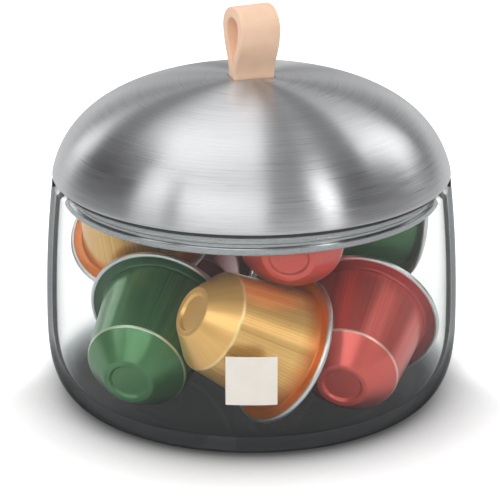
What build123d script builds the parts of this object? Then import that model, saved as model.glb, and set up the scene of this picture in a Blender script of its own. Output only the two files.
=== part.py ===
from build123d import *
import math
import os

import numpy as np

# Coffee capsule dispenser: a glass bowl of capsules under a spun steel lid with a leather loop.
# Millimetres, +Z up, origin on the table at the middle of the bowl, front towards -Y.

# Driving dimensions of the bowl
bowl_h = 55.3
bowl_rim_r = 49.0
bowl_side_r = 51.2
bowl_base_r = 41.7
heel_h = 19.6
heel_power = 2.57
wall_t = 2.4
floor_t = 3.6
heel_corner = 1.0
rim_round = 0.9
punt_r = 34.0
punt_depth = 0.8

# Driving dimensions of the lid
dome_h = 24.0
dome_t = 0.8
shoulder_r = 4.2
shoulder_sweep = 14.0
edge_round = 0.35
gasket_t = 1.1
gasket_inset = 1.0
gasket_play = 0.15
collar_t = 0.8
collar_drop = 4.8
collar_play = 0.5
collar_flange_w = 1.4
hem_play = 0.05
edge_match = 0.01

# Driving dimensions of the leather loop and what holds it under the lid
strap_w = 10.1
strap_t = 2.7
loop_rise = 17.6
loop_depth = 12.2
loop_turn = 18.0
neck_rise = 0.8
eye_lean = 37.0
slot_play = 0.3
plate_r = 12.0
plate_t = 1.0
plate_gap = 0.15
pin_d = 2.2
pin_len = 14.0
pin_play = 0.03
cap_seat = 0.15
cap_d = 4.2
cap_len = 1.6
tail_below_pin = 2.2

# Driving dimensions of one capsule
flange_r = 18.5
curl_r = 0.65
flange_t = 0.5
mouth_r = 15.1
shoulder_cap_r = 12.3
shoulder_cap_h = 21.8
nose_r = 6.2
nose_h = 28.0
nose_dish_r = 4.8
nose_dish_d = 0.7
cup_t = 0.5
slant_share = 0.4
foil_t = 0.3
foil_inset = 1.5
dose_gap = 0.3

# Driving dimensions of the blank label on the front of the glass
label_w = 12.0
label_z = 21.6
label_t = 0.25
label_glue = 0.02

# How each capsule is let down onto what lies below it
rest_gap = 0.3
lift_height = 0.5
touch_gap = 0.02
rim_spacing = 0.5
skin_spacing = 2.0
side_steps = 8
most_steps = 200

# Where each capsule lies, in the order they went in: name, x, y and a starting height of the
# middle of its flange in flange radii, then the compass heading and the rise of its nose
capsule_rows = [
    ("front_left", -1.1892, -0.4324, 1.1892, -106, -17),
    ("front_right", 1.5135, -0.5405, 1.1892, -104, -17),
    ("front_middle", 0.4324, -1.5405, 1.0811, -155, 30),
    ("left", -0.973, 1.3514, 1.2432, 275, -5),
    ("rear_right", 0.4324, 1.2432, 1.2432, -30, -15),
    ("upper_left", -1.5135, 0.4865, 2.0216, 255, 55),
    ("upper_right", 2.0, 0.4865, 2.3946, 200, 5),
    ("upper_middle", 0.5946, -0.7027, 3.0108, -95, -15),
    ("upper_rear", -0.3784, 1.0811, 2.573, 70, 60),
]

lid_z = bowl_h + gasket_t
dome_top = lid_z + dome_h
bore_r = bowl_rim_r - wall_t
collar_r = bore_r - collar_play
floor_r = bowl_base_r - heel_corner
hollow_r = bowl_side_r - wall_t

os.makedirs("parts", exist_ok=True)


def save(shape, node):
    export_step(shape, f"parts/{node}.step")


def spin(face):
    """Turn a face drawn in the XZ plane into a solid of revolution about Z."""
    return revolve(face, Axis.Z, 360)


def heel_points(r_in, r_out, z_low, z_high, count=9):
    """Points of a superellipse quarter from the flat base to the upright side."""
    points = []
    for i in range(count):
        turn = math.pi / 2 * i / (count - 1)
        r = r_in + (r_out - r_in) * math.sin(turn) ** (2 / heel_power)
        z = z_low + (z_high - z_low) * (1 - math.cos(turn) ** (2 / heel_power))
        points.append((r, z))
    return points


def heel_curve(r_in, r_out, z_low, z_high):
    points = heel_points(r_in, r_out, z_low, z_high)
    return Spline(*points, tangents=[(1, 0), (0, 1)])


def side_arc(r_low, r_high):
    """The side above the heel: an arc that leaves the heel upright and leans in to the rim."""
    return TangentArc((r_low, heel_h), (r_high, bowl_h), tangent=(0, 1))


def glass_bowl():
    outline = Curve() + [
        Line((0, punt_depth), (punt_r - punt_depth, punt_depth)),
        Line((punt_r - punt_depth, punt_depth), (punt_r, 0)),
        Line((punt_r, 0), (bowl_base_r, 0)),
        heel_curve(bowl_base_r, bowl_side_r, 0, heel_h),
        side_arc(bowl_side_r, bowl_rim_r),
        Line((bowl_rim_r, bowl_h), (bore_r, bowl_h)),
        side_arc(hollow_r, bore_r),
        heel_curve(floor_r, hollow_r, floor_t, heel_h),
        Line((floor_r, floor_t), (0, floor_t)),
        Line((0, floor_t), (0, punt_depth)),
    ]
    solid = spin(Plane.XZ * make_face(outline))
    rim_edges = solid.edges().filter_by(GeomType.CIRCLE).group_by(Axis.Z)[-1]
    return fillet(rim_edges, rim_round)


def front_label():
    near = label_glue
    far = label_glue + label_t
    outline = Curve() + [
        heel_curve(bowl_base_r + near, bowl_side_r + near, -near, heel_h),
        TangentArc((bowl_side_r + near, heel_h), (bowl_rim_r + near, bowl_h), tangent=(0, 1)),
        Line((bowl_rim_r + near, bowl_h), (bowl_rim_r + far, bowl_h)),
        TangentArc((bowl_side_r + far, heel_h), (bowl_rim_r + far, bowl_h), tangent=(0, 1)),
        heel_curve(bowl_base_r + far, bowl_side_r + far, -far, heel_h),
        Line((bowl_base_r + far, -far), (bowl_base_r + near, -near)),
    ]
    skin = spin(Plane.XZ * make_face(outline))
    window = Pos(0, -bowl_side_r, label_z) * Box(label_w, bowl_side_r, label_w)
    return skin & window


def dome_curve(inset):
    """Shoulder arc and crown of the dome, drawn in from the outer skin by inset."""
    turn = math.radians(shoulder_sweep)
    r = shoulder_r - inset
    centre_r = bowl_rim_r - shoulder_r
    top = dome_top - inset
    end = (centre_r + r * math.cos(turn), lid_z + r * math.sin(turn))
    lean = (top - end[1]) / math.cos(turn)
    middle = (end[0] - lean * math.sin(turn), top)
    shoulder = CenterArc((centre_r, lid_z), r, 0, shoulder_sweep)
    crown = Bezier(end, middle, (0, top))
    return shoulder, crown


def strap_slot(play):
    """Upright prism through which the strap's two layers pass, with play all round."""
    size_across = 2 * strap_t + 2 * play
    slot = Box(strap_w + 2 * play, size_across, 2 * dome_h)
    return Pos(0, 0, dome_top) * Rot(0, 0, loop_turn) * slot


def lid_dome():
    outer_shoulder, outer_crown = dome_curve(0)
    inner_shoulder, inner_crown = dome_curve(dome_t)
    hem_in = collar_r + hem_play
    hem_out = bowl_rim_r - dome_t / 2
    inner_edge = bowl_rim_r - dome_t
    shell = spin(Plane.XZ * make_face(Curve() + [
        outer_shoulder,
        outer_crown,
        Line((0, dome_top), (0, dome_top - dome_t)),
        inner_crown,
        inner_shoulder,
        Line((inner_edge, lid_z), (bowl_rim_r, lid_z)),
    ]))
    hem_middle = Pos((hem_in + hem_out) / 2, lid_z + dome_t / 2)
    hem = spin(Plane.XZ * (hem_middle * Rectangle(hem_out - hem_in, dome_t)))
    solid = shell + hem - strap_slot(slot_play)
    edges = [
        edge for edge in solid.edges().filter_by(GeomType.CIRCLE)
        if abs(edge.radius - bowl_rim_r) < edge_match
        and abs(edge.center().Z - lid_z) < edge_match
    ]
    return fillet(edges, edge_round)


def lid_collar():
    """Flange on top of the hem, and a wall that drops into the glass and centres the lid."""
    top = lid_z + dome_t
    bottom = bowl_h - collar_drop
    wall = Pos(collar_r - collar_t / 2, (top + bottom) / 2) * Rectangle(collar_t, top - bottom)
    flange_in = collar_r - collar_t
    flange_out = collar_r + collar_flange_w
    flange = Pos((flange_in + flange_out) / 2, top + collar_t / 2)
    flange = flange * Rectangle(flange_out - flange_in, collar_t)
    return spin(Plane.XZ * (wall + flange))


def lid_gasket():
    outer = bowl_rim_r - gasket_inset
    inner = collar_r + gasket_play
    ring = Pos((outer + inner) / 2, bowl_h + gasket_t / 2) * Rectangle(outer - inner, gasket_t)
    return spin(Plane.XZ * ring)


def leather_loop():
    """One strap folded into a teardrop; its two tails go down through the lid."""
    half_depth = loop_depth / 2
    centre_z = dome_top + loop_rise - half_depth
    neck_z = dome_top + neck_rise
    tail_z = pin_centre_z() - tail_below_pin
    eye_r = half_depth - strap_t
    eye_z = neck_z + strap_t
    lean = math.radians(eye_lean)
    eye_out = (math.sin(lean), math.cos(lean))
    eye_back = (math.sin(lean), -math.cos(lean))
    outer = Curve() + [
        Line((0, tail_z), (strap_t, tail_z)),
        Line((strap_t, tail_z), (strap_t, neck_z)),
        Spline((strap_t, neck_z), (half_depth, centre_z), tangents=[(0, 1), (0, 1)]),
        CenterArc((0, centre_z), half_depth, 0, 180),
        Spline((-half_depth, centre_z), (-strap_t, neck_z), tangents=[(0, -1), (0, -1)]),
        Line((-strap_t, neck_z), (-strap_t, tail_z)),
        Line((-strap_t, tail_z), (0, tail_z)),
    ]
    eye = Curve() + [
        Spline((0, eye_z), (eye_r, centre_z), tangents=[eye_out, (0, 1)]),
        CenterArc((0, centre_z), eye_r, 0, 180),
        Spline((-eye_r, centre_z), (0, eye_z), tangents=[(0, -1), eye_back]),
    ]
    section = make_face(outer) - make_face(eye)
    across = Plane((0, 0, 0), x_dir=(0, 1, 0), z_dir=(1, 0, 0))
    strap = extrude(across * section, strap_w / 2, both=True)
    hole = Pos(0, 0, pin_centre_z()) * Rot(90, 0, 0) * Cylinder(pin_d / 2 + pin_play, loop_depth)
    return Rot(0, 0, loop_turn) * (strap - hole)


def plate_top_z():
    """Height of the backing plate's top, just clear of the dome's curved inside."""
    inner_top = dome_top - dome_t
    turn = math.radians(shoulder_sweep)
    control_r = bowl_rim_r - dome_h * math.tan(turn)
    share = plate_r / (2 * control_r)
    return inner_top - dome_h * share ** 2 - plate_gap


def pin_centre_z():
    return plate_top_z() - plate_t - cap_d / 2 - cap_seat


def loop_backing_plate():
    plate = Pos(0, 0, plate_top_z() - plate_t / 2) * Cylinder(plate_r, plate_t)
    return plate - strap_slot(slot_play)


def loop_pin():
    pin = Rot(90, 0, 0) * Cylinder(pin_d / 2, pin_len)
    return Rot(0, 0, loop_turn) * Pos(0, 0, pin_centre_z()) * pin


def pin_cap(side):
    """Push-on cap over one end of the pin: a cup with a closed outer end."""
    bore_len = cap_len / 2
    bore = Pos(0, 0, -bore_len / 2) * Cylinder(pin_d / 2 + pin_play, bore_len)
    cup = Cylinder(cap_d / 2, cap_len) - bore
    turned = Rot(-90 * side, 0, 0) * cup
    place = Rot(0, 0, loop_turn) * Pos(0, side * pin_len / 2, pin_centre_z())
    return place * turned


def cup_outline(inset):
    """Half outline of a capsule's cup, from its mouth to the middle of its nose."""
    slant = inset * slant_share
    return [
        (mouth_r - inset, curl_r),
        (shoulder_cap_r - inset, shoulder_cap_h - slant),
        (nose_r - slant, nose_h - inset),
        (nose_dish_r - slant, nose_h - inset),
        (nose_dish_r - 2 * slant, nose_h - nose_dish_d - inset),
        (0, nose_h - nose_dish_d - inset),
    ]


def capsule_cup():
    """Pressed cup with a flat flange and a rolled edge, standing on its flange."""
    outline = cup_outline(0) + cup_outline(cup_t)[::-1]
    wall = make_face(Polyline(*outline, close=True))
    flange_z = curl_r + flange_t / 2
    flange_out = flange_r - curl_r
    flange_in = mouth_r - cup_t
    flange = Pos((flange_out + flange_in) / 2, flange_z) * Rectangle(flange_out - flange_in, flange_t)
    curl = Pos(flange_r - curl_r, curl_r) * Circle(curl_r)
    return spin(Plane.XZ * (wall + flange + curl))


def capsule_foil():
    return Pos(0, 0, curl_r - foil_t / 2) * Cylinder(flange_r - foil_inset, foil_t)


def coffee_dose():
    inset = cup_t + dose_gap
    floor = curl_r + dose_gap
    top = nose_h - nose_dish_d - 2 * inset
    outline = [
        (0, floor),
        (mouth_r - inset, floor),
        (shoulder_cap_r - inset, shoulder_cap_h - inset),
        (nose_dish_r, top),
        (0, top),
    ]
    return spin(Plane.XZ * make_face(Polyline(*outline, close=True)))


def hollow_outline():
    """Inside of the bowl as radius and height, from the floor's middle to above the rim."""
    sag = hollow_r - bore_r
    rise = bowl_h - heel_h
    shares = [(i + 1) / side_steps for i in range(side_steps)]
    side = [(hollow_r - sag * share ** 2, heel_h + rise * share) for share in shares]
    heel = heel_points(floor_r, hollow_r, floor_t, heel_h)
    return np.array([(0, floor_t)] + heel + side + [(bore_r, 4 * bowl_h)])


def capsule_outline():
    """Outside of a capsule as radius and height above the lowest point of its rolled edge."""
    wall = cup_outline(0)
    edge = [(0, 0), (flange_r, 0), (flange_r, 2 * curl_r), (mouth_r, 2 * curl_r)]
    return np.array(edge + wall[1:3] + [(0, nose_h)])


def skin_points(outline):
    """Rings of points over a solid of revolution, closer together on its widest edges."""
    points = []
    for (r_0, z_0), (r_1, z_1) in zip(outline[:-1], outline[1:]):
        steps = max(1, round(math.hypot(r_1 - r_0, z_1 - z_0) / skin_spacing))
        for i in range(steps):
            r = r_0 + (r_1 - r_0) * i / steps
            z = z_0 + (z_1 - z_0) * i / steps
            spacing = rim_spacing if r > flange_r - touch_gap else skin_spacing
            turns = 2 * math.pi * np.arange(max(1, round(2 * math.pi * r / spacing)))
            turns = turns / len(turns)
            points.append(np.column_stack([r * np.cos(turns), r * np.sin(turns), z + 0 * turns]))
    return np.vstack(points)


def line_distance(points, outline):
    """Distance of points in the radius and height plane from an outline."""
    start = outline[:-1]
    run = outline[1:] - start
    offset = points[:, None, :] - start[None]
    share = np.clip((offset * run).sum(-1) / (run ** 2).sum(-1), 0, 1)
    return np.hypot(*np.moveaxis(offset - share[..., None] * run, -1, 0)).min(1)


def skin_distance(points, outline):
    """Distance of points in space from a solid of revolution about Z, negative inside it."""
    flat = np.column_stack([np.hypot(points[:, 0], points[:, 1]), points[:, 2]])
    limit = np.interp(flat[:, 1], outline[1:, 1], outline[1:, 0], left=-1, right=-1)
    inside = flat[:, 0] <= limit
    distance = line_distance(flat, outline)
    return np.where(inside, -distance, distance)


def nose_axes(heading, rise):
    """Rows are a capsule's own x, y and z axes, with z pointing from flange to nose."""
    turn = math.radians(heading)
    lift = math.radians(rise)
    nose = np.array([math.cos(lift) * math.cos(turn), math.cos(lift) * math.sin(turn), math.sin(lift)])
    side = np.array([-math.sin(turn), math.cos(turn), 0])
    return np.array([side, np.cross(nose, side), nose])


def wall_gap(middle, axes, skin):
    """Smallest gap from a capsule to the bowl, and the height at which it is found."""
    points = skin @ axes + middle
    distance = skin_distance(points, hollow_outline())
    return -distance.max(), points[distance.argmax(), 2]


def pile_gap(middle, axes, skin, placed):
    """Smallest gap from a capsule to the capsules already in the bowl."""
    outline = capsule_outline()
    points = skin @ axes + middle
    gap = bowl_h
    for other_middle, other_axes in placed:
        other_points = skin @ other_axes + other_middle
        gap = min(gap, skin_distance((points - other_middle) @ other_axes.T, outline).min())
        gap = min(gap, skin_distance((other_points - middle) @ axes.T, outline).min())
    return gap


def let_down(row, skin, placed):
    """Free a capsule, in from the side and up from the rest, then lower it until it rests."""
    x, y, z, heading, rise = row
    axes = nose_axes(heading, rise)
    middle = flange_r * np.array([x, y, z])
    for _ in range(most_steps):
        side_gap, height = wall_gap(middle, axes, skin)
        gap = min(side_gap, pile_gap(middle, axes, skin, placed))
        step = max(lift_height, rest_gap - gap)
        off_axis = math.hypot(middle[0], middle[1])
        if gap >= rest_gap:
            break
        if side_gap < rest_gap and height > heel_h and off_axis > step:
            middle[:2] *= 1 - step / off_axis
        else:
            middle[2] += step
    while gap - rest_gap > touch_gap:
        middle[2] -= gap - rest_gap
        gap = min(wall_gap(middle, axes, skin)[0], pile_gap(middle, axes, skin, placed))
    return middle, axes


def fill_bowl():
    """Save every capsule's cup and foil where it comes to rest, and all the coffee together."""
    skin = skin_points(capsule_outline())
    cup = capsule_cup()
    foil = capsule_foil()
    dose = coffee_dose()
    placed = []
    doses = []
    for name, *row in capsule_rows:
        middle, axes = let_down(row, skin, placed)
        placed.append((middle, axes))
        place = Plane(tuple(middle), x_dir=tuple(axes[0]), z_dir=tuple(axes[2])).location
        save(place * cup, f"capsule_{name}_cup")
        save(place * foil, f"capsule_{name}_foil")
        doses.append(place * dose)
    save(Compound(children=doses), "coffee_doses")


save(glass_bowl(), "glass_bowl")
save(front_label(), "front_label")
save(lid_gasket(), "lid_gasket")
save(lid_dome(), "lid_dome")
save(lid_collar(), "lid_collar")
save(leather_loop(), "leather_loop")
save(loop_backing_plate(), "loop_backing_plate")
save(loop_pin(), "loop_pin")
save(pin_cap(1), "pin_cap_rear")
save(pin_cap(-1), "pin_cap_front")
fill_bowl()
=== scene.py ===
# %% [markdown]
# The object is a small bowl of coffee capsules: thick clear glass, a spun steel lid with
# a leather loop, and nine aluminium capsules inside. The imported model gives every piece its
# place and size in metres, so each new surface is drawn where its solid already lies.

import math

import bmesh
import bpy
import numpy as np
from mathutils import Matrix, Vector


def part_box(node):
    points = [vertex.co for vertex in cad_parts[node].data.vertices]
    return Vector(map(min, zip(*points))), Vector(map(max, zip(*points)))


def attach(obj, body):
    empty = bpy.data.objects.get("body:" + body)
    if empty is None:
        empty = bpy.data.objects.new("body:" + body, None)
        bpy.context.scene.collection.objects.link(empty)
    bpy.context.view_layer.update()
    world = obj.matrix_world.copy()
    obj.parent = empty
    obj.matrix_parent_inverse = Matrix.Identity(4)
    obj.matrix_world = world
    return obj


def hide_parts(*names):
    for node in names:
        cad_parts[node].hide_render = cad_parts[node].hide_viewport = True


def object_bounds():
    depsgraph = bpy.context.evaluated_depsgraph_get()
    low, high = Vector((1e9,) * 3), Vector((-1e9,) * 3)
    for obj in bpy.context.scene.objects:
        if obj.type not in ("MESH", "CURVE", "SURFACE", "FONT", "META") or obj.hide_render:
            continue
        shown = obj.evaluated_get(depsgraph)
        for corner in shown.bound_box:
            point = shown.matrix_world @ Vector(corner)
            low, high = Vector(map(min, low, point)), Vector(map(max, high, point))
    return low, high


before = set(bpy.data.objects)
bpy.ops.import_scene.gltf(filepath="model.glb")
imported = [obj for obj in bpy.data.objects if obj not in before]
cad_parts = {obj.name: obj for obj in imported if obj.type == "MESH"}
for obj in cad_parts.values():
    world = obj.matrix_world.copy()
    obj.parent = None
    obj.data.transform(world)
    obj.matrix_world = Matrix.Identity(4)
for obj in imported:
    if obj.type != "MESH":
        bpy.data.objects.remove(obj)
cad_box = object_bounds()
scene = bpy.context.scene
mm = 0.001
cad_size = [round((high - low) / mm, 1) for low, high in zip(*cad_box)]
print("the solids are", cad_size, "mm long, deep and high")

# %% [markdown]
# The photograph looks down on the bowl from straight in front with a long lens. A camera
# can be placed by eye, but its height and distance follow from the ellipses of the rim and
# of the base, so the values below were worked out from those and only written down here.

# %% Camera
camera_rise = math.radians(19.41)
camera_distance = 0.588
camera_target = np.array([0.0, 0.0, 0.04116])
camera_data = bpy.data.cameras.new("camera")
camera_data.sensor_width = 36.0
camera_data.lens = 170.28
camera_data.shift_x = -0.003
camera_data.shift_y = -0.0446
camera = bpy.data.objects.new("camera", camera_data)
scene.collection.objects.link(camera)
way_to_camera = np.array([0, -math.cos(camera_rise), math.sin(camera_rise)])
camera.location = camera_target + camera_distance * way_to_camera
camera.rotation_euler = (math.pi / 2 - camera_rise, 0, 0)
scene.camera = camera
scene.view_settings.view_transform = "Standard"
print("camera stands", round(camera.location.z, 3), "m above the table")


# %% [markdown]
# Colours are written as the sRGB hex values that a paint chart would give. Shaders work
# with linear light, so one function turns the one into the other. One more adds a node,
# sets what it is given as a value and links what it is given as a socket. Object
# coordinates are in metres, so a pattern's scale is written as its cells per millimetre:
# 2.6 / mm is a pattern whose cells are about 0.4 mm wide.

# %% Colours and nodes
def colour(code):
    """sRGB hex to linear: below 0.04045 divide by 12.92, above it a power of 2.4."""
    parts = np.array([int(code[i:i + 2], 16) / 255 for i in (1, 3, 5)])
    linear = np.where(parts <= 0.04045, parts / 12.92, ((parts + 0.055) / 1.055) ** 2.4)
    return (*linear, 1.0)


def add_node(tree, kind, inputs=None, **settings):
    """Adds a node: settings are its own options, inputs are numbers or sockets by name."""
    node = tree.nodes.new("ShaderNode" + kind)
    for key, value in settings.items():
        setattr(node, key, value)
    for key, value in (inputs or {}).items():
        if isinstance(value, bpy.types.NodeSocket):
            tree.links.new(value, node.inputs[key])
        else:
            node.inputs[key].default_value = value
    return node


def new_material(name):
    """An empty material and its node tree."""
    material = bpy.data.materials.new(name)
    material.use_nodes = True
    material.node_tree.nodes.clear()
    print("material", name)
    return material, material.node_tree


# %% [markdown]
# The studio is a white table under a long overhead panel, with one more high on the right
# and softboxes at the left and in front. Spun metal smears what it reflects along its
# radius, so each lamp draws a bright fan on the lid and each gap between them a dark one.
# The lamps are large and weak, and with the sky they add up to about one, so that a colour
# renders as it is written. The overhead panel looks straight down, a millimetre off, so
# that the way it is turned is defined.

# %% Lamps
def softbox(name, centre, size, radiance, aim=(0, 0, 0.04)):
    """A flat lamp; its power is pi times its area times the radiance that it shows."""
    lamp = bpy.data.lights.new(name, "AREA")
    lamp.shape = "RECTANGLE"
    lamp.size, lamp.size_y = size
    lamp.energy = math.pi * size[0] * size[1] * radiance
    holder = bpy.data.objects.new(name, lamp)
    scene.collection.objects.link(holder)
    holder.location = centre
    back = np.array(centre) - np.array(aim)
    turn = math.atan2(back[0], -back[1])
    lean = math.atan2(math.hypot(back[0], back[1]), back[2])
    holder.rotation_euler = (lean, 0, turn)
    return holder


lamps = [
    softbox("overhead", (-0.33, 0.45, 1.3), (0.84, 1.5), 1.5, aim=(-0.33, 0.451, 0)),
    softbox("high_right", (0.94, 0.7, 0.95), (0.66, 0.75), 2.4),
    softbox("low_left", (-1.0, 1.02, 0.52), (0.4, 0.5), 1.8),
    softbox("front_wide", (-0.3, -0.92, 0.74), (1.0, 0.6), 2.0),
    softbox("front_left", (-0.85, -0.42, 0.66), (0.36, 0.6), 2.2),
    softbox("front_right", (0.7, -0.62, 0.7), (0.2, 0.7), 4.0),
]
print(len(lamps), "lamps")

# %% [markdown]
# The backdrop is pure white for the eye, also where the eye looks at it through the glass.
# What the metal mirrors is the room itself, with dark gaps between its panels, or the lid
# would have no fans. A ray that has bounced off something before is no longer the eye's.
# The glows are shares of white: high up, at the far sides, and as a matt surface gets it.

# %% Sky
high_glow = 0.38
side_glow = 0.12
matt_glow = 0.42


def looked_at(tree):
    """One for a ray from the eye that has passed nothing but clear glass, else nought."""
    path = add_node(tree, "LightPath")
    bounces = add_node(tree, "Math", {
        0: path.outputs["Glossy Depth"], 1: path.outputs["Diffuse Depth"],
    })
    straight = add_node(tree, "Math", {0: bounces.outputs[0], 1: 0.5}, operation="LESS_THAN")
    glass = add_node(tree, "Math", {
        0: path.outputs["Is Transmission Ray"], 1: straight.outputs[0],
    }, operation="MULTIPLY")
    return add_node(tree, "Math", {
        0: path.outputs["Is Camera Ray"], 1: glass.outputs[0],
    }, operation="MAXIMUM").outputs[0]


sky = bpy.data.worlds.new("studio")
scene.world = sky
sky.use_nodes = True
tree = sky.node_tree
tree.nodes.clear()
direction = add_node(tree, "TexCoord").outputs["Generated"]
heading = add_node(tree, "SeparateXYZ", {"Vector": direction})
height_share = add_node(tree, "MapRange", {
    "Value": heading.outputs["Z"], "From Min": 0.05, "From Max": 0.3,
    "To Min": 1.0, "To Max": high_glow,
})
sideways = add_node(tree, "Math", {0: heading.outputs["X"]}, operation="ABSOLUTE")
side_share = add_node(tree, "MapRange", {
    "Value": sideways.outputs[0], "From Min": 0.5, "From Max": 0.8,
    "To Min": 1.0, "To Max": side_glow,
})
mirrored = add_node(tree, "Math", {
    0: height_share.outputs[0], 1: side_share.outputs[0],
}, operation="MULTIPLY")
sky_ray = add_node(tree, "LightPath")
soft = add_node(tree, "Mix", {
    0: sky_ray.outputs["Is Diffuse Ray"], "A": mirrored.outputs[0], "B": matt_glow,
})
level = add_node(tree, "Mix", {0: looked_at(tree), "A": soft.outputs[0], "B": 1.0})
glow = add_node(tree, "Background", {"Color": (1, 1, 1, 1), "Strength": level.outputs[0]})
add_node(tree, "OutputWorld", {"Surface": glow.outputs[0]})
print("the sky has", len(tree.nodes), "nodes")


# %% [markdown]
# Every new piece is a surface on a grid of points, computed as one array. Most are turned
# on a lathe in real life, so they are a profile of radius and height carried round the
# upright axis. The faces are checked by the volume they enclose, which is negative when
# a shape is inside out. Points that meet at a pole are merged, and an edge stays sharp
# where its faces turn by more than the crease angle.

# %% Surfaces
merged_below = 1e-7
crease_angle = math.radians(50)


def build_mesh(name, points, faces_of=None, round_rows=False, caps=False):
    """Skin over a grid of points: each face joins a point with its next row and column.

    The last column joins the first. The last row does so with round_rows, and caps close
    the two end rows. faces_of gives each row of faces its material's number.
    """
    rows, columns = points.shape[:2]
    index = np.arange(rows * columns).reshape(rows, columns)
    grid = np.vstack([index, index[:1]]) if round_rows else index
    grid = np.hstack([grid, grid[:, :1]])
    corners = np.stack([grid[:-1, :-1], grid[:-1, 1:], grid[1:, 1:], grid[1:, :-1]], axis=-1)
    faces = corners.reshape(-1, 4).tolist()
    if caps:
        faces += [index[0, ::-1].tolist(), index[-1].tolist()]
    mesh = bpy.data.meshes.new(name)
    mesh.from_pydata(points.reshape(-1, 3).tolist(), [], faces)
    if faces_of is not None:
        mesh.polygons.foreach_set("material_index", np.repeat(faces_of, corners.shape[1]))
    solid = bmesh.new()
    solid.from_mesh(mesh)
    bmesh.ops.remove_doubles(solid, verts=solid.verts, dist=merged_below)
    if solid.calc_volume(signed=True) < 0:
        bmesh.ops.reverse_faces(solid, faces=solid.faces)
    solid.to_mesh(mesh)
    solid.free()
    mesh.shade_smooth()
    mesh.set_sharp_from_angle(angle=crease_angle)
    return mesh


def turned(profile, around=192):
    """Grid of a profile (radius, height) carried round the axis: x = r cos a, y = r sin a."""
    angle = 2 * math.pi * np.arange(around) / around
    radius, height = profile[:, :1], profile[:, 1:]
    return np.stack([radius * np.cos(angle), radius * np.sin(angle), height + 0 * angle], axis=-1)


def rounded(corners, radii, steps=5):
    """Line whose corners are cut by (1 - s)^2 start + 2 s (1 - s) corner + s^2 end.

    Start and end lie on the two sides of a corner, a radius away from it.
    """
    corners = np.array(corners, float)
    line = [corners[:1]]
    share = np.linspace(0, 1, steps)[:, None]
    for before, corner, after, radius in zip(corners, corners[1:], corners[2:], radii):
        start = corner + radius * (before - corner) / np.linalg.norm(before - corner)
        end = corner + radius * (after - corner) / np.linalg.norm(after - corner)
        line.append((1 - share) ** 2 * start + 2 * share * (1 - share) * corner + share ** 2 * end)
    return np.vstack(line + [corners[-1:]])


def show(name, mesh, body, slot, materials, *nodes):
    """Puts a mesh in the scene as a piece that rides on a body and stands for its solids."""
    piece = bpy.data.objects.new(name, mesh)
    scene.collection.objects.link(piece)
    for material in materials:
        mesh.materials.append(material)
    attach(piece, body)
    if nodes:
        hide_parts(*nodes)
    print(name, len(mesh.polygons), "faces")
    return piece


# %% [markdown]
# The table is a white sheet that only has to catch the shadow. A little light of its own
# lifts it to white where nothing shades it. What stands on it also hides part of the room
# from it, and the ambient occlusion node measures that. It looks further on the near side
# than behind, so the soft shade gathers at the foot and in front of it, as under one large
# lamp. Only the eye sees that shade; other rays meet plain white paper. Lengths here are
# in metres, as the node wants them.

# %% Table
near_y, far_y = -0.055, 0.007
near_look, far_look = 0.12, 0.012
darkest = 0.42
shade_power = 2.5
own_light = 0.5
table_rings = [(0.0, 0.0), (0.3, 0.0), (4.0, 0.0)]

paper, tree = new_material("matt_white_paper")
place = add_node(tree, "TexCoord").outputs["Object"]
ahead = add_node(tree, "SeparateXYZ", {"Vector": place}).outputs["Y"]
look = add_node(tree, "MapRange", {
    "Value": ahead, "From Min": near_y, "From Max": far_y,
    "To Min": near_look, "To Max": far_look,
}, interpolation_type="SMOOTHSTEP")
open_room = add_node(tree, "AmbientOcclusion", {"Distance": look.outputs[0]}, samples=24)
openness = add_node(tree, "MapRange", {
    "Value": open_room.outputs["AO"], "From Min": 0.1, "From Max": 0.88,
    "To Min": darkest, "To Max": 1.0,
})
shading = add_node(tree, "Math", {0: openness.outputs[0], 1: shade_power}, operation="POWER")
matt = add_node(tree, "BsdfDiffuse", {"Color": shading.outputs[0]})
lift = add_node(tree, "Emission", {"Color": shading.outputs[0], "Strength": own_light})
both = add_node(tree, "AddShader", {0: matt.outputs[0], 1: lift.outputs[0]})
plain = add_node(tree, "BsdfDiffuse", {"Color": colour("#F4F4F4")})
by_ray = add_node(tree, "MixShader", {
    0: looked_at(tree), 1: plain.outputs[0], 2: both.outputs[0],
})
add_node(tree, "OutputMaterial", {"Surface": by_ray.outputs[0]})
table_mesh = build_mesh("table", turned(np.array(table_rings), 64))
table_mesh.materials.append(paper)
table = bpy.data.objects.new("table", table_mesh)
scene.collection.objects.link(table)
print("the table reaches", table_rings[-1][0], "m out")

# %% [markdown]
# The bowl is soda-lime glass, pressed or blown into a mould and fire polished. Its side is
# nearly upright and runs through a superellipse into a thick flat foot with a shallow
# hollow below. It is turned as one closed line: out under the foot, up the outside, over
# the rim and down the inside, because refraction is only right where glass has both its
# walls. Sizes are in millimetres from here on, and a finished grid is multiplied by mm.

# %% Bowl sizes
bowl_top = 55.3
rim_r = 49.0
side_r = 51.2
base_r = 41.7
heel_top = 19.6
heel_power = 2.57
wall = 2.4
floor_top = 3.6
floor_edge_r = 40.7
hollow_r = 34.0
hollow_rise = 0.8
rim_round = 0.9


def heel(r_in, r_out, z_low, count=24):
    """Superellipse quarter: (r share) ** p + (height share from the top) ** p = 1."""
    turn = np.linspace(0, math.pi / 2, count)
    across = r_in + (r_out - r_in) * np.sin(turn) ** (2 / heel_power)
    up = z_low + (heel_top - z_low) * (1 - np.cos(turn) ** (2 / heel_power))
    return np.column_stack([across, up])


def side(r_low, r_high, count=14):
    """Arc that starts upright at the heel: r = r_low - R + R cos a, z = heel + R sin a."""
    sag, rise = r_low - r_high, bowl_top - heel_top
    radius = (sag ** 2 + rise ** 2) / (2 * sag)
    turn = np.linspace(0, math.asin(rise / radius), count)[1:]
    across = r_low - radius + radius * np.cos(turn)
    return np.column_stack([across, heel_top + radius * np.sin(turn)])


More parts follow.
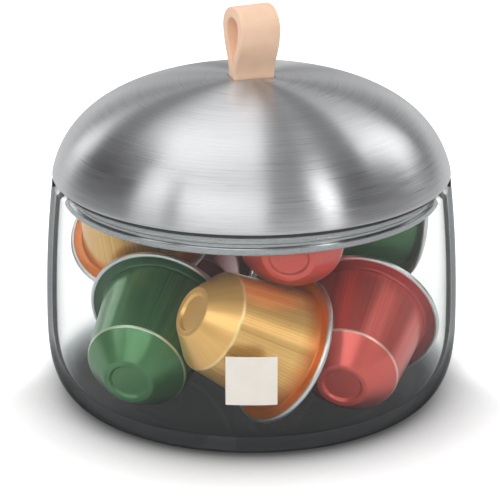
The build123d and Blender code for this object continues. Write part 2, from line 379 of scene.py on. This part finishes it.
# %% Bowl
outside = np.vstack([heel(base_r, side_r, 0), side(side_r, rim_r)])
inside = np.vstack([
    heel(floor_edge_r, side_r - wall, floor_top), side(side_r - wall, rim_r - wall),
])
foot = rounded(
    [(0, hollow_rise), (hollow_r - hollow_rise, hollow_rise), (hollow_r, 0), (base_r, 0)],
    [0.5, 0.5],
)
rim = rounded([outside[-2], outside[-1], inside[-1], inside[-2]], [rim_round] * 2, steps=8)
foot_to_rim = np.vstack([foot[:-1], outside[:-2], rim[1:-1]])
bowl_line = np.vstack([foot_to_rim, inside[:-1][::-1], [(0, floor_top)]])
inside_rows = (np.arange(len(bowl_line) - 1) >= len(foot_to_rim) - 1).astype(int)
bowl_mesh = build_mesh("bowl", turned(bowl_line * mm), inside_rows)
print("the bowl's line has", len(bowl_line), "points")

# %% [markdown]
# The wall of a bowl is two parallel surfaces, and what one of them bends the other bends
# back, so the capsules show where they are. An index near one with a clear coat of 1.5 on
# top gives that: straight light, and the mirror of real glass. What makes glass visible is
# its edge, where the light runs a long way inside it and comes out grey. At so low an index
# the glass no longer bends the dark room into its edge, so the grey there is partly painted
# shade. The thick foot is painted grey low down, a painted shade for the shaded table seen
# through it. A shadow ray only needs a clear sheet, so the lamps reach the capsules; low in
# the foot that sheet is painted grey, which paints a darker shadow under the foot.

# %% Glass
# Below grey_below the foot is painted grey, a painted shade for the shaded table seen through it;
# above clear_above the glass is clear.
grey_below = 4.0
clear_above = 9.0


def bowl_glass(name, edge_dark):
    """Clear glass, painted grey low in the foot as shade, and of the tone edge_dark edge-on, partly
    painted shade.
    """
    material, tree = new_material(name)
    place = add_node(tree, "TexCoord").outputs["Object"]
    height = add_node(tree, "SeparateXYZ", {"Vector": place}).outputs["Z"]
    # Share of the glass that lies above the foot's painted shade.
    clear_of_foot_shade = add_node(tree, "MapRange", {
        "Value": height, "From Min": grey_below * mm, "From Max": clear_above * mm,
    }, interpolation_type="SMOOTHSTEP")
    # The glass's own faint tint, with a painted shade low in the foot.
    glass_tint_and_foot_shade = add_node(tree, "Mix", {
        0: clear_of_foot_shade.outputs[0], "A": colour("#A2A6AA"), "B": colour("#F2F4F3"),
    }, data_type="RGBA")
    edge_on = add_node(tree, "LayerWeight", {"Blend": 0.5}).outputs["Facing"]
    # Edge-on the glass goes to the tone edge_dark: partly the long path inside the glass, partly a
    # painted shade for the dark room that a real index would bend in.
    deep = add_node(tree, "MapRange", {
        "Value": edge_on, "From Min": 0.55, "From Max": 0.82,
    }, interpolation_type="SMOOTHSTEP")
    edge_grey_and_shade = add_node(tree, "Mix", {
        0: deep.outputs[0], "A": (1, 1, 1, 1), "B": colour(edge_dark),
    }, data_type="RGBA")
    tint = add_node(tree, "Mix", {
        0: 1.0, "A": glass_tint_and_foot_shade.outputs["Result"], "B": edge_grey_and_shade.outputs["Result"],
    }, data_type="RGBA", blend_type="MULTIPLY")
    gloss = add_node(tree, "MapRange", {
        "Value": edge_on, "From Min": 0.45, "From Max": 0.8, "To Min": 0.4, "To Max": 0.05,
    })
    clear = add_node(tree, "BsdfPrincipled", {
        "Base Color": tint.outputs["Result"], "Roughness": 0.0, "IOR": 1.02,
        "Transmission Weight": 1.0, "Coat Weight": gloss.outputs[0], "Coat Roughness": 0.01,
    })
    # Shadow rays pass a clear sheet that is painted grey low in the foot: a painted shadow, darker
    # under the foot.
    shade = add_node(tree, "Mix", {
        0: clear_of_foot_shade.outputs[0], "A": colour("#8A8E92"), "B": colour("#F4F6F5"),
    }, data_type="RGBA")
    passing = add_node(tree, "BsdfTransparent", {"Color": shade.outputs["Result"]})
    ray = add_node(tree, "LightPath")
    both = add_node(tree, "MixShader", {
        0: ray.outputs["Is Shadow Ray"], 1: clear.outputs[0], 2: passing.outputs[0],
    })
    add_node(tree, "OutputMaterial", {"Surface": both.outputs[0]})
    return material


outer_glass = bowl_glass("clear_soda_lime_glass", "#5A5D60")
inner_glass = bowl_glass("clear_soda_lime_glass_inside", "#FFFFFF")
show("bowl_of_glass", bowl_mesh, "bowl", "clear_glass", [outer_glass, inner_glass], "glass_bowl")

# %% [markdown]
# A blank square label is stuck to the front of the glass. It is a rounded strip section
# carried round the side of the bowl, so it bends with the glass and has a real thickness.
# It is so near the gold capsule that its mirror image would be a dark patch there, so it
# is kept out of reflections.

# %% Label
label_half = 6.0
label_middle = 21.6
label_thick = 0.25
label_glue = 0.02
label_round = 0.1
face_margin = 0.3


def bowl_radius(z):
    """Outer radius of the bowl at a height, read off its own profile."""
    return np.interp(z, outside[:, 1], outside[:, 0])


low, top = label_middle - label_half, label_middle + label_half
near, far = label_glue, label_glue + label_thick
edges = rounded([(low, near), (low, far), (top, far), (top, near)], [label_round] * 2)
low_edge, top_edge = np.split(edges, 2)
face_z = np.linspace(low + face_margin, top - face_margin, 14)
face = np.column_stack([face_z, 0 * face_z + far])
section = np.vstack([low_edge, face, top_edge, [(label_middle, near)]])
spread = np.linspace(-label_half, label_half, 25)[:, None] / side_r - math.pi / 2
section_r = (bowl_radius(section[:, 0]) + section[:, 1])[None]
label_grid = np.stack([
    section_r * np.cos(spread), section_r * np.sin(spread), section[:, 0] + 0 * spread,
], axis=-1)
label_mesh = build_mesh("label", label_grid * mm, caps=True)

# %% [markdown]
# The label is uncoated paper: matt, a little warm, and cloudy where its fibres lie denser.

# %% Label paper
label_paper, tree = new_material("uncoated_label_paper")
place = add_node(tree, "TexCoord").outputs["Object"]
fibres = add_node(tree, "TexNoise", {"Vector": place, "Scale": 2.6 / mm, "Detail": 4.0})
cloud = add_node(tree, "TexNoise", {"Vector": place, "Scale": 0.26 / mm, "Detail": 2.0})
pale = add_node(tree, "Mix", {
    0: cloud.outputs[0], "A": colour("#E9E1D6"), "B": colour("#F3EEE6"),
}, data_type="RGBA")
tooth = add_node(tree, "Bump", {
    "Height": fibres.outputs[0], "Strength": 0.25, "Distance": 0.04 * mm,
})
sheet = add_node(tree, "BsdfPrincipled", {
    "Base Color": pale.outputs["Result"], "Roughness": 0.62, "Normal": tooth.outputs[0],
})
add_node(tree, "OutputMaterial", {"Surface": sheet.outputs[0]})
label = show("blank_label", label_mesh, "bowl", "label_white", [label_paper], "front_label")
label.visible_glossy = False

# %% [markdown]
# The lid is spun from one sheet of stainless steel. A short upright shoulder turns into a
# wide crown, and an oblong slot in the middle lets the strap through. Turning alone can't
# make the slot, so near the middle each ring is a blend between the slot's outline and a
# circle, which keeps one grid from the slot to the rim.

# %% Lid sizes
lid_low = 56.4
lid_top = 80.4
steel_thick = 0.8
shoulder_r = 4.2
shoulder_turn = math.radians(14)
loop_turn = math.radians(18)
slot_half = (5.35, 3.0)
slot_ring_r = 12.0
lip_r = 46.15


def crown_ends(inset):
    """Where the crown starts, and the height of the middle, drawn in by inset."""
    r = shoulder_r - inset
    start_r = rim_r - shoulder_r + r * math.cos(shoulder_turn)
    start_z = lid_low + r * math.sin(shoulder_turn)
    top = lid_top - inset
    middle_r = start_r - (top - start_z) * math.tan(shoulder_turn)
    return start_r, start_z, middle_r, top


def crown_height(radius, inset):
    """Height of the crown: a quadratic curve, solved for the share s at a radius."""
    start_r, start_z, middle_r, top = crown_ends(inset)
    a, b, c = start_r - 2 * middle_r, -2 * (start_r - middle_r), start_r - radius
    share = (-b - np.sqrt(b * b - 4 * a * c)) / (2 * a)
    return top - (1 - share) ** 2 * (top - start_z)


def crown_line(inset, count=44):
    """Profile of the lid from its lower edge to the ring round the slot."""
    r = shoulder_r - inset
    turn = np.linspace(0, shoulder_turn, 6)
    shoulder = np.column_stack([rim_r - shoulder_r + r * np.cos(turn), lid_low + r * np.sin(turn)])
    inward = np.cos(np.linspace(0, math.pi / 2, count))
    across = slot_ring_r + (shoulder[-1, 0] - slot_ring_r) * inward
    return np.vstack([shoulder[:-1], np.column_stack([across, crown_height(across, inset)])])


# %% Lid
lid_columns = 192
angle = 2 * math.pi * np.arange(lid_columns) / lid_columns
slot_turn = angle - loop_turn
slot_edge = np.minimum(
    slot_half[0] / np.maximum(np.abs(np.cos(slot_turn)), 1e-6),
    slot_half[1] / np.maximum(np.abs(np.sin(slot_turn)), 1e-6),
)
ring_share = np.linspace(1, 0, 9)[1:, None]
slot_rings = ring_share * slot_ring_r + (1 - ring_share) * slot_edge


def slot_skin(inset):
    """Rings between the circle and the slot, each at the crown's own height."""
    z = crown_height(slot_rings, inset)
    return np.stack([slot_rings * np.cos(angle), slot_rings * np.sin(angle), z], axis=-1)


outer_line = crown_line(0)
lip = rounded(
    [outer_line[1], (rim_r, lid_low), (lip_r, lid_low), (lip_r, lid_low + steel_thick)],
    [0.35, 0.3],
)
inner_line = crown_line(steel_thick)
inner_line = np.vstack([(rim_r - steel_thick, lid_low + steel_thick), inner_line[1:]])
lid_grid = np.concatenate([
    slot_skin(0)[::-1],
    turned(outer_line[::-1][:-1], lid_columns),
    turned(lip[1:], lid_columns),
    turned(inner_line, lid_columns),
    slot_skin(steel_thick),
])
lid_mesh = build_mesh("lid", lid_grid * mm, round_rows=True)

# %% [markdown]
# Spun steel is brushed while it turns, so its scratches are rings. Across the rings the
# surface is rough and along them it is nearly a mirror: that is an anisotropic metal, with
# its tangent running round the axis and turned by a quarter. Real scratches are about
# 0.05 mm apart, too fine for the picture, so the rings are drawn about 0.3 mm apart. The
# noise runs fast across the rings and slowly along them.

# %% Brushed steel
def brushed_steel(name, tone_low, tone_high, roughness, ring_mm, relief=0.35):
    """Steel with rings ring_mm apart round the axis, numbered by r - z; relief is their depth."""
    material, tree = new_material(name)
    place = add_node(tree, "TexCoord").outputs["Object"]
    flat = add_node(tree, "VectorMath", {0: place, 1: (1, 1, 0)}, operation="MULTIPLY")
    radius = add_node(tree, "VectorMath", {0: flat.outputs[0]}, operation="LENGTH")
    height = add_node(tree, "SeparateXYZ", {"Vector": place}).outputs["Z"]
    slant = add_node(tree, "Math", {
        0: radius.outputs["Value"], 1: height,
    }, operation="SUBTRACT")
    rings = add_node(tree, "Math", {
        0: slant.outputs[0], 1: 1 / (ring_mm * mm),
    }, operation="MULTIPLY")
    slow = add_node(tree, "VectorMath", {0: flat.outputs[0], "Scale": 0.06 / mm}, operation="SCALE")
    lift = add_node(tree, "CombineXYZ", {"Z": rings.outputs[0]})
    where = add_node(tree, "VectorMath", {0: slow.outputs[0], 1: lift.outputs[0]}, operation="ADD")
    brush = add_node(tree, "TexNoise", {
        "Vector": where.outputs[0], "Scale": 1.0, "Detail": 3.0, "Roughness": 0.65,
    })
    cloud = add_node(tree, "TexNoise", {"Vector": place, "Scale": 0.045 / mm, "Detail": 2.0})
    tone = add_node(tree, "Mix", {
        0: brush.outputs[0], "A": colour(tone_low), "B": colour(tone_high),
    }, data_type="RGBA")
    streak = add_node(tree, "MapRange", {
        "Value": brush.outputs[0], "From Min": 0.3, "From Max": 0.7,
        "To Min": roughness - 0.05, "To Max": roughness + 0.07,
    })
    haze = add_node(tree, "MapRange", {
        "Value": cloud.outputs[0], "From Min": 0.3, "From Max": 0.7,
        "To Min": -0.02, "To Max": 0.03,
    })
    rough = add_node(tree, "Math", {0: streak.outputs[0], 1: haze.outputs[0]}, operation="ADD")
    groove = add_node(tree, "Bump", {
        "Height": brush.outputs[0], "Strength": relief, "Distance": 0.02 * mm,
    })
    tangent = add_node(tree, "Tangent", direction_type="RADIAL", axis="Z")
    steel = add_node(tree, "BsdfPrincipled", {
        "Base Color": tone.outputs["Result"], "Metallic": 1.0, "Roughness": rough.outputs[0],
        "Anisotropic": 0.95, "Anisotropic Rotation": 0.25, "Tangent": tangent.outputs[0],
        "Normal": groove.outputs[0],
    })
    add_node(tree, "OutputMaterial", {"Surface": steel.outputs[0]})
    return material


lid_steel = brushed_steel("brushed_stainless_lid", "#A4A5A7", "#DFE0E2", 0.31, 0.3)
show("spun_lid", lid_mesh, "lid", "brushed_lid", [lid_steel], "lid_dome")

# %% [markdown]
# Under the lid a rolled steel collar drops into the glass, and a grey silicone ring lies
# on the rim so that steel never touches glass. Both are closed rings of a small section.
# The collar ends in a rolled bead with a groove above it, which reads as a dark line over
# a light lip.

# %% Collar
collar_in, collar_out = 45.3, 46.1
bead_out, groove_out, flange_out = 46.35, 45.85, 47.5
collar_low, bead_top = 50.5, 52.2
groove_low, groove_top, collar_from = 52.5, 53.1, 53.4
flange_low, collar_top = 57.2, 58.0
collar_start = (45.7, collar_low)
collar_line = rounded(
    [collar_start, (bead_out, collar_low), (bead_out, bead_top), (groove_out, groove_low),
     (groove_out, groove_top), (collar_out, collar_from), (collar_out, flange_low),
     (flange_out, flange_low), (flange_out, collar_top), (collar_in, collar_top),
     (collar_in, collar_low), collar_start],
    [0.5, 0.35, 0.12, 0.12, 0.12, 0.15, 0.15, 0.2, 0.3, 0.2], steps=6,
)[:-1]
collar_mesh = build_mesh("collar", turned(collar_line * mm), round_rows=True)
# The collar is toned darker than the lid, a painted shade for the dark that it mirrors under the
# lid's edge.
collar_steel = brushed_steel(
    "brushed_stainless_collar", "#A8AAAC", "#B4B6B9", 0.2, 0.4, relief=0.01,
)
show("steel_collar", collar_mesh, "lid", "brushed_collar", [collar_steel], "lid_collar")

# %% [markdown]
# The seal is moulded silicone: a soft dark grey with almost no gloss, and a fine skin that
# holds dust.

# %% Seal
seal_in, seal_out = 46.25, 48.0
seal_start = (47.1, bowl_top)
seal_line = rounded(
    [seal_start, (seal_out, bowl_top), (seal_out, lid_low), (seal_in, lid_low),
     (seal_in, bowl_top), seal_start],
    [0.35] * 4,
)[:-1]
seal_mesh = build_mesh("seal", turned(seal_line * mm), round_rows=True)
silicone, tree = new_material("moulded_grey_silicone")
place = add_node(tree, "TexCoord").outputs["Object"]
dust = add_node(tree, "TexNoise", {"Vector": place, "Scale": 0.9 / mm, "Detail": 3.0})
grey = add_node(tree, "Mix", {
    0: dust.outputs[0], "A": colour("#3C3E40"), "B": colour("#4B4D50"),
}, data_type="RGBA")
matt_skin = add_node(tree, "Bump", {
    "Height": dust.outputs[0], "Strength": 0.2, "Distance": 0.03 * mm,
})
rubber = add_node(tree, "BsdfPrincipled", {
    "Base Color": grey.outputs["Result"], "Roughness": 0.55, "IOR": 1.41,
    "Normal": matt_skin.outputs[0],
})
add_node(tree, "OutputMaterial", {"Surface": rubber.outputs[0]})
show("silicone_seal", seal_mesh, "seal", "silicone", [silicone], "lid_gasket")

# %% [markdown]
# The handle is one strip of vegetable-tanned leather, folded over with its flesh side in
# and both tails pushed through the slot. The strip's section is a rectangle with worn
# corners. It is carried along a teardrop line, and the line's plane turns a few degrees on
# its way up, because a thick strap never folds quite square. A point of that line is a
# distance q from the middle and a height z.

# %% Loop line
strap_w = 10.1
strap_t = 2.7
loop_rise = 17.6
loop_top = lid_top + loop_rise
loop_half = 6.1
tail_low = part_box("leather_loop")[0][2] / mm
neck_z = lid_top + 0.8
bend_z = loop_top - loop_half
middle_q = strap_t / 2
bulge_q = loop_half - strap_t / 2
worn_corner = 0.35
swell = 0.06
foot_twist, added_twist = -2.0, 10.0


def ease(start, end, count, start_pull, end_pull):
    """Cubic curve between two points that leaves and arrives upright."""
    t = np.linspace(0, 1, count)[:, None]
    a, d = np.array(start, float), np.array(end, float)
    b, c = a + (0, start_pull), d - (0, end_pull)
    return (1 - t) ** 3 * a + 3 * (1 - t) ** 2 * t * b + 3 * (1 - t) * t ** 2 * c + t ** 3 * d


tail = np.column_stack([np.full(8, middle_q), np.linspace(tail_low, neck_z, 9)[:-1]])
flank = ease((middle_q, neck_z), (bulge_q, bend_z), 22, start_pull=4.0, end_pull=5.0)
arch = np.linspace(0, math.pi / 2, 16)[1:]
crest = np.column_stack([bulge_q * np.cos(arch), bend_z + bulge_q * np.sin(arch)])
right = np.vstack([tail, flank, crest])
loop_line = np.vstack([right, (right * (-1, 1))[:-1][::-1]])

# %% Loop
step = np.gradient(loop_line, axis=0)
step /= np.linalg.norm(step, axis=1, keepdims=True)
outward = np.column_stack([step[:, 1], -step[:, 0]])
half_w, half_t = strap_w / 2, strap_t / 2
strip = rounded(
    [(0, -half_t), (half_w, -half_t), (half_w, half_t), (-half_w, half_t), (-half_w, -half_t),
     (0, -half_t)],
    [worn_corner] * 4, steps=5,
)[:-1]
swollen = swell * (1 - (strip[:, 0] / half_w) ** 2) * np.sign(strip[:, 1])
away = loop_line[:, None] + outward[:, None] * (strip[:, 1] + swollen)[None, :, None]
up_share = np.clip((away[..., 1] - lid_top) / loop_rise, 0, 1)
yaw = loop_turn + np.radians(foot_twist + added_twist * up_share)
across, along = strip[:, 0][None] + 0 * yaw, away[..., 0]
loop_x = across * np.cos(yaw) - along * np.sin(yaw)
loop_y = across * np.sin(yaw) + along * np.cos(yaw)
loop_grid = np.stack([loop_x, loop_y, away[..., 1]], axis=-1)
loop_mesh = build_mesh("loop", loop_grid * mm, caps=True)

# %% [markdown]
# Natural veg-tan is pale pink-beige, darker where it is bent and handled. Its grain is a
# net of fine creases about half a millimetre wide with pores between, and the surface is
# waxed to a soft sheen.

# %% Leather
leather, tree = new_material("vegetable_tanned_leather")
place = add_node(tree, "TexCoord").outputs["Object"]
cloud = add_node(tree, "TexNoise", {"Vector": place, "Scale": 0.24 / mm, "Detail": 4.0})
pores = add_node(tree, "TexVoronoi", {
    "Vector": place, "Scale": 1.9 / mm,
}, feature="DISTANCE_TO_EDGE")
fibre = add_node(tree, "TexNoise", {"Vector": place, "Scale": 3.8 / mm, "Detail": 5.0})
tan = add_node(tree, "Mix", {
    0: cloud.outputs[0], "A": colour("#F3C4A2"), "B": colour("#FFDDC2"),
}, data_type="RGBA")
crease = add_node(tree, "MapRange", {"Value": pores.outputs["Distance"], "From Max": 0.12})
grain = add_node(tree, "Mix", {0: 0.35, "A": crease.outputs[0], "B": fibre.outputs[0]})
depth = add_node(tree, "Bump", {"Height": grain.outputs[0], "Strength": 0.3, "Distance": 0.05 * mm})
wear_and_highlight = add_node(tree, "MapRange", {"Value": cloud.outputs[0], "To Min": 0.42, "To Max": 0.6})
hide = add_node(tree, "BsdfPrincipled", {
    "Base Color": tan.outputs["Result"], "Roughness": wear_and_highlight.outputs[0], "Normal": depth.outputs[0],
    "Sheen Weight": 0.15, "Sheen Roughness": 0.4,
})
add_node(tree, "OutputMaterial", {"Surface": hide.outputs[0]})
show("leather_strap", loop_mesh, "lid", "leather", [leather], "leather_loop")

# %% [markdown]
# Inside the lid a steel disc, a pin and two push-on caps hold the strap's tails. They are
# plain turned parts whose solids have the right shape, so they stay and get a finish.

# %% Steel fittings
fitting_steel, tree = new_material("turned_steel")
place = add_node(tree, "TexCoord").outputs["Object"]
scuff = add_node(tree, "TexNoise", {"Vector": place, "Scale": 0.6 / mm, "Detail": 4.0})
tone = add_node(tree, "Mix", {
    0: scuff.outputs[0], "A": colour("#9FA1A3"), "B": colour("#C2C4C6"),
}, data_type="RGBA")
rough = add_node(tree, "MapRange", {"Value": scuff.outputs[0], "To Min": 0.25, "To Max": 0.5})
steel = add_node(tree, "BsdfPrincipled", {
    "Base Color": tone.outputs["Result"], "Metallic": 1.0, "Roughness": rough.outputs[0],
})
add_node(tree, "OutputMaterial", {"Surface": steel.outputs[0]})
for node_name in ("loop_backing_plate", "loop_pin", "pin_cap_rear", "pin_cap_front"):
    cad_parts[node_name].material_slots[0].material = fitting_steel

# %% [markdown]
# A capsule is a deep-drawn aluminium cup, lacquered in its colour, with a silver rolled
# edge and a foil seal. All nine have one profile, turned once, and each is moved to where
# its solid foil lies: the middle of the foil gives the place and its flattest direction
# gives the way that the nose points. The unmoved coordinates are kept as an attribute,
# so that a pattern sits on the cup the same way however it has tumbled. A point of the
# profile is a radius and a height above the flange, with the nose up.

# %% Capsule profile
curl_r = 0.65
curl_middle_r = 17.85
flange_top = 1.15
fold_r, fold_z = 12.3, 21.8
nose_r, nose_z = 6.2, 28.0
dimple_r, dimple_z = 4.4, 27.3
mouth_r = 15.1
cup_outside = rounded(
    [(0, dimple_z), (dimple_r, dimple_z), (4.8, nose_z), (nose_r, nose_z), (fold_r, fold_z),
     (mouth_r, flange_top), (17.75, flange_top)],
    [0.2, 0.2, 0.35, 0.5, 0.5], steps=5,
)
edge_turn = np.linspace(math.radians(112), math.radians(-115), 15)
rolled_edge = np.column_stack([
    curl_middle_r + curl_r * np.cos(edge_turn), curl_r + curl_r * np.sin(edge_turn),
])
cup_inside = rounded(
    [(17.4, curl_r), (14.7, curl_r), (11.8, 21.6), (6.0, 27.4), (0, 26.8)],
    [0.3, 0.4, 0.3], steps=4,
)
capsule_line = np.vstack([cup_outside[:-1], rolled_edge, cup_inside])
silver_rows = np.zeros(len(capsule_line) - 1, int)
silver_rows[len(cup_outside) - 1:] = 1
foil_r, foil_top = 16.95, 0.64
foil_line = rounded(
    [(0, 0.28), (14.2, 0.33), (foil_r, 0.36), (foil_r, foil_top), (0, foil_top)],
    [0.4, 0.1, 0.1],
)
print("a capsule's line has", len(capsule_line), "points, its foil's", len(foil_line))


# %% Placing the capsules
foil_middle_z = 0.5


def points_of(mesh):
    """Places of a mesh's points, one row of x, y and z for each."""
    flat = np.empty(3 * len(mesh.vertices))
    mesh.vertices.foreach_get("co", flat)
    return flat.reshape(-1, 3)


def foil_pose(name):
    """Middle of a foil and unit axes; its points spread least along the way to the nose."""
    disc = points_of(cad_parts[f"capsule_{name}_foil"].data)
    cup = points_of(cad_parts[f"capsule_{name}_cup"].data)
    middle = (disc.min(axis=0) + disc.max(axis=0)) / 2
    nose = np.linalg.svd(disc - disc.mean(axis=0), full_matrices=False)[2][2]
    nose = nose * np.sign((cup.mean(axis=0) - middle) @ nose)
    sideways = np.cross((0, 0, 1), nose)
    sideways = sideways / np.linalg.norm(sideways)
    axes = np.array([sideways, np.cross(nose, sideways), nose])
    return middle - foil_middle_z * mm * nose, axes


def lay(name, line, origin, axes, faces_of=None):
    """Turned shape moved to its place: point = origin + x side + y across + z nose."""
    mesh = build_mesh(name, turned(line * mm, 96), faces_of)
    own = points_of(mesh)
    kept = mesh.attributes.new("own_place", "FLOAT_VECTOR", "POINT")
    kept.data.foreach_set("vector", (own / mm).ravel())
    mesh.vertices.foreach_set("co", (own @ axes + origin).ravel())
    mesh.update()
    return mesh


# %% [markdown]
# The lacquer is a clear tint over drawn aluminium, so the colour lies on a metal that
# still shines through. Drawing leaves faint lines from the edge to the nose, strongest on
# the gold capsules. They run on the side and are weak on the cone of the nose. The fold
# between the two is painted as a thin pale ring, a painted highlight on its edge, and near
# the flange the tone is painted deeper, a painted shade that reaches further up on the gold
# capsules. Real lines are finer than 0.1 mm, so they are drawn about 0.4 mm apart to show.

# %% Lacquered aluminium
def lacquer(name, deep, bright, flange_shade, fold_highlight, lines=0.5, fade=2.2):
    """Lacquer from deep to bright along drawn lines, with a painted highlight on the fold and
    painted shade from the flange up to fade.
    """
    material, tree = new_material(name)
    own = add_node(tree, "Attribute", attribute_name="own_place").outputs["Vector"]
    round_only = add_node(tree, "VectorMath", {0: own, 1: (1, 1, 0)}, operation="MULTIPLY")
    unit = add_node(tree, "VectorMath", {0: round_only.outputs[0]}, operation="NORMALIZE")
    many = add_node(tree, "VectorMath", {0: unit.outputs[0], "Scale": 36.0}, operation="SCALE")
    along = add_node(tree, "VectorMath", {0: own, 1: (0, 0, 0.012)}, operation="MULTIPLY")
    where = add_node(tree, "VectorMath", {0: many.outputs[0], 1: along.outputs[0]}, operation="ADD")
    drawn = add_node(tree, "TexNoise", {
        "Vector": where.outputs[0], "Scale": 1.0, "Detail": 1.5, "Roughness": 0.5,
    })
    speck = add_node(tree, "TexNoise", {"Vector": own, "Scale": 1.4, "Detail": 3.0})
    up = add_node(tree, "SeparateXYZ", {"Vector": own}).outputs["Z"]
    on_cone = add_node(tree, "MapRange", {
        "Value": up, "From Min": fold_z - 0.2, "From Max": fold_z + 0.1,
        "To Min": lines, "To Max": 0.3 * lines,
    })
    swing = add_node(tree, "MapRange", {
        "Value": drawn.outputs[0], "From Min": 0.32, "From Max": 0.68,
        "To Min": -0.5, "To Max": 0.5,
    })
    contrast = add_node(tree, "Math", {
        0: swing.outputs[0], 1: on_cone.outputs[0], 2: 0.5,
    }, operation="MULTIPLY_ADD")
    tint = add_node(tree, "Mix", {
        0: contrast.outputs[0], "A": colour(deep), "B": colour(bright),
    }, data_type="RGBA")
    # Near the flange the tone is painted deeper, up to fade: a painted shade on the capsule's lower
    # side.
    flange_shade_share = add_node(tree, "MapRange", {
        "Value": up, "From Min": 1.3, "From Max": fade, "To Min": 1.0, "To Max": 0.0,
    })
    body = add_node(tree, "Mix", {
        0: flange_shade_share.outputs[0], "A": tint.outputs["Result"], "B": colour(flange_shade),
    }, data_type="RGBA")
    # The fold gets a thin pale ring: a painted highlight on its edge.
    on_fold = add_node(tree, "Math", {0: up, 1: fold_z - 0.05, 2: 0.3}, operation="COMPARE")
    wear_and_highlight = add_node(tree, "Mix", {
        0: on_fold.outputs[0], "A": body.outputs["Result"], "B": colour(fold_highlight),
    }, data_type="RGBA")
    rough = add_node(tree, "MapRange", {"Value": speck.outputs[0], "To Min": 0.24, "To Max": 0.38})
    relief = add_node(tree, "Bump", {
        "Height": drawn.outputs[0], "Strength": 0.03, "Distance": 0.05 * mm,
    })
    cup = add_node(tree, "BsdfPrincipled", {
        "Base Color": wear_and_highlight.outputs["Result"], "Metallic": 0.6, "Roughness": rough.outputs[0],
        "Coat Weight": 0.5, "Coat Roughness": 0.15, "Normal": relief.outputs[0],
    })
    add_node(tree, "OutputMaterial", {"Surface": cup.outputs[0]})
    return material


# In each lacquer the third colour is a painted shade near the flange, and the fourth a painted
# highlight on the fold.
lacquers = {
    "capsule_green": lacquer(
        "green_lacquered_aluminium", "#2F6238", "#56915A", "#2C5A36", "#C9D8BE"),
    "capsule_red": lacquer(
        "coral_lacquered_aluminium", "#CC423D", "#EE7064", "#B03C38", "#F4BCAC"),
    "capsule_dark_red": lacquer(
        "dark_red_lacquered_aluminium", "#86201B", "#AE3129", "#701A16", "#C06A5C"),
    "capsule_gold": lacquer(
        "gold_lacquered_aluminium", "#E29A40", "#FFD88C", "#D67622", "#FFDC9C",
        lines=0.55, fade=6.0),
    "capsule_copper": lacquer(
        "copper_lacquered_aluminium", "#BC7450", "#E09C74", "#A0603E", "#E8B494"),
}

# %% [markdown]
# The rolled edge and the inside of a cup are bare rolled aluminium, bright and finely
# scuffed. The foil is thin aluminium sealed on by heat, which leaves it softly crinkled,
# so a bump from a coarse noise bends its reflections.

# %% Bare aluminium and foil
silver, tree = new_material("bare_rolled_aluminium")
place = add_node(tree, "TexCoord").outputs["Object"]
scuff = add_node(tree, "TexNoise", {"Vector": place, "Scale": 0.9 / mm, "Detail": 3.0})
tone = add_node(tree, "Mix", {
    0: scuff.outputs[0], "A": colour("#D5D6D8"), "B": colour("#ECEDEE"),
}, data_type="RGBA")
rough = add_node(tree, "MapRange", {"Value": scuff.outputs[0], "To Min": 0.28, "To Max": 0.42})
metal = add_node(tree, "BsdfPrincipled", {
    "Base Color": tone.outputs["Result"], "Metallic": 1.0, "Roughness": rough.outputs[0],
})
add_node(tree, "OutputMaterial", {"Surface": metal.outputs[0]})

foil, tree = new_material("sealed_aluminium_foil")
own = add_node(tree, "Attribute", attribute_name="own_place").outputs["Vector"]
crinkle = add_node(tree, "TexNoise", {
    "Vector": own, "Scale": 0.45, "Detail": 5.0, "Roughness": 0.6,
})
tone = add_node(tree, "Mix", {
    0: crinkle.outputs[0], "A": colour("#BFC1C3"), "B": colour("#E2E3E5"),
}, data_type="RGBA")
press = add_node(tree, "Bump", {
    "Height": crinkle.outputs[0], "Strength": 0.5, "Distance": 0.3 * mm,
})
leaf = add_node(tree, "BsdfPrincipled", {
    "Base Color": tone.outputs["Result"], "Metallic": 1.0, "Roughness": 0.3,
    "Normal": press.outputs[0],
})
add_node(tree, "OutputMaterial", {"Surface": leaf.outputs[0]})

# %% [markdown]
# Each capsule has its colour by its place in the pile. A cup and its foil are two pieces,
# because the real foil is a separate disc glued on.

# %% Capsules
capsule_colours = {
    "front_left": "capsule_green",
    "front_right": "capsule_red",
    "front_middle": "capsule_gold",
    "left": "capsule_dark_red",
    "rear_right": "capsule_copper",
    "upper_middle": "capsule_red",
    "upper_right": "capsule_green",
    "upper_left": "capsule_gold",
    "upper_rear": "capsule_dark_red",
}
for name, slot in capsule_colours.items():
    origin, axes = foil_pose(name)
    cup_mesh = lay(f"{name}_capsule", capsule_line, origin, axes, silver_rows)
    show(f"{name}_capsule", cup_mesh, "bowl", slot, [lacquers[slot], silver], f"capsule_{name}_cup")
    foil_mesh = lay(f"{name}_seal", foil_line, origin, axes)
    show(f"{name}_seal", foil_mesh, "bowl", "foil", [foil], f"capsule_{name}_foil")

# %% [markdown]
# The ground coffee is sealed inside the cups and only shows when one is cut open, so its
# solids stay and get the dark, coarse look of a pressed dose.

# %% Coffee
coffee, tree = new_material("ground_roast_coffee")
place = add_node(tree, "TexCoord").outputs["Object"]
grounds = add_node(tree, "TexVoronoi", {"Vector": place, "Scale": 1.6 / mm})
roast = add_node(tree, "Mix", {
    0: grounds.outputs["Distance"], "A": colour("#2E1B10"), "B": colour("#5A3820"),
}, data_type="RGBA")
bits = add_node(tree, "Bump", {
    "Height": grounds.outputs["Distance"], "Strength": 0.8, "Distance": 0.3 * mm,
})
dose = add_node(tree, "BsdfPrincipled", {
    "Base Color": roast.outputs["Result"], "Roughness": 0.8, "Normal": bits.outputs[0],
})
add_node(tree, "OutputMaterial", {"Surface": dose.outputs[0]})
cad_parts["coffee_doses"].material_slots[0].material = coffee
